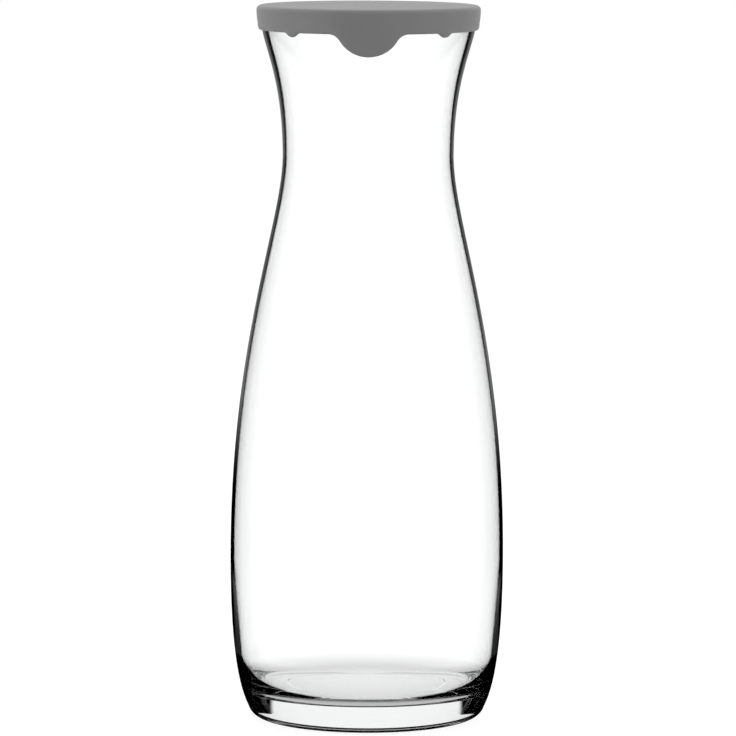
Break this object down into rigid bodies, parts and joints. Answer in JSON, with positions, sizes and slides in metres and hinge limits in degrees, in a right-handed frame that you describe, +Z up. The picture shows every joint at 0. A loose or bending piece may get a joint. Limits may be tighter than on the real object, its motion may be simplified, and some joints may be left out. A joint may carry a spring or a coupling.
{
  "type": "glass carafe",
  "caption": "Clear glass carafe with a round belly, waisted neck, flared mouth and thick base, closed by a grey press-on plastic lid with a pull tab.",
  "frame": {"origin": "middle of the foot, on the surface that the carafe stands on", "axes": "+Z up along the carafe's axis; -Y towards the lid's pull tab"},
  "size_m": [0.098, 0.098, 0.2554],
  "materials": {
    "clear_glass": "clear, smooth, fire-polished rim",
    "grey_plastic": "soft matte, mid grey"
  },
  "bodies": {
    "carafe": {"glass_body": "clear_glass"},
    "lid": {"lid": "grey_plastic"}
  },
  "joints": [
    {"name": "lid_lift", "type": "slide", "parent": "carafe", "child": "lid", "axis": [0, 0, 1], "range_m": [0, 0.04]}
  ]
}
